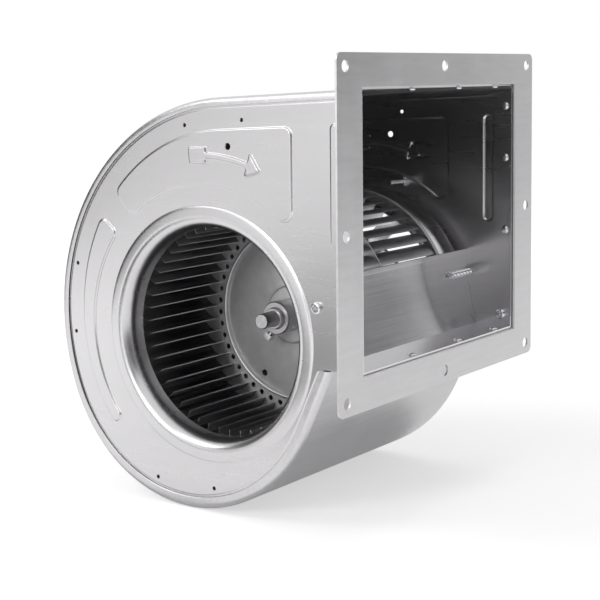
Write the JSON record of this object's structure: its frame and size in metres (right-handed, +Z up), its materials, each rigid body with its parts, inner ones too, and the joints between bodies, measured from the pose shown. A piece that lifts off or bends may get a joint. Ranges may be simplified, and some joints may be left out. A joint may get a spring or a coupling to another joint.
{
  "type": "double-inlet centrifugal fan",
  "caption": "Scroll-cased centrifugal fan with an air inlet in each side, a forward-curved wheel on its motor's own shaft, and a rectangular outlet flange.",
  "frame": {"origin": "middle of the outlet flange's front face, which is the middle of its hole pattern", "axes": "+X out of the outlet along the flange's normal, +Y along the shaft towards the motor side, +Z up the flange's short side"},
  "size_m": [0.3803, 0.376, 0.4495],
  "materials": {
    "casing_sheet": "galvanised, satin",
    "flange_sheet": "galvanised, satin",
    "wheel_sheet": "galvanised, satin",
    "turned_steel": "bright turned",
    "zinc_fastener": "zinc plated",
    "rivet": "plain",
    "motor_paint": "black, semi-gloss",
    "lamination": "varnished",
    "copper": "enamelled winding",
    "bearing_steel": "polished",
    "rubber": "matt"
  },
  "bodies": {
    "casing": {"side_plate_front": "casing_sheet", "side_plate_rear": "casing_sheet", "scroll_wrapper": "casing_sheet", "cutoff_plate": "casing_sheet", "outlet_flange": "flange_sheet", "flange_rivets": "rivet", "stop_screws": "zinc_fastener", "tab_screws": "zinc_fastener", "motor_shell": "motor_paint", "end_shield_front": "motor_paint", "end_shield_rear": "motor_paint", "tie_bolts": "zinc_fastener", "stator_core": "lamination", "stator_windings": "copper", "bearing_outer_front": "bearing_steel", "bearing_outer_rear": "bearing_steel", "lead_bush": "rubber", "motor_band": "casing_sheet", "band_bolt": "zinc_fastener", "band_nut": "zinc_fastener", "motor_arm_1": "casing_sheet", "motor_arm_2": "casing_sheet", "motor_arm_3": "casing_sheet", "arm_screws": "zinc_fastener", "arm_bolts": "zinc_fastener", "arm_nuts": "zinc_fastener", "arm_grommets": "rubber"},
    "wheel": {"motor_shaft": "turned_steel", "rotor_core": "lamination", "bearing_inner_front": "bearing_steel", "bearing_inner_rear": "bearing_steel", "wheel_hub": "turned_steel", "set_screw": "zinc_fastener", "centre_disc": "wheel_sheet", "blades": "wheel_sheet", "end_ring_front": "wheel_sheet", "end_ring_rear": "wheel_sheet"}
  },
  "joints": [
    {"name": "wheel_spin", "type": "hinge", "parent": "casing", "child": "wheel", "pos_m": [-0.1835, 0, -0.11], "axis": [0, 1, 0], "continuous": true}
  ]
}
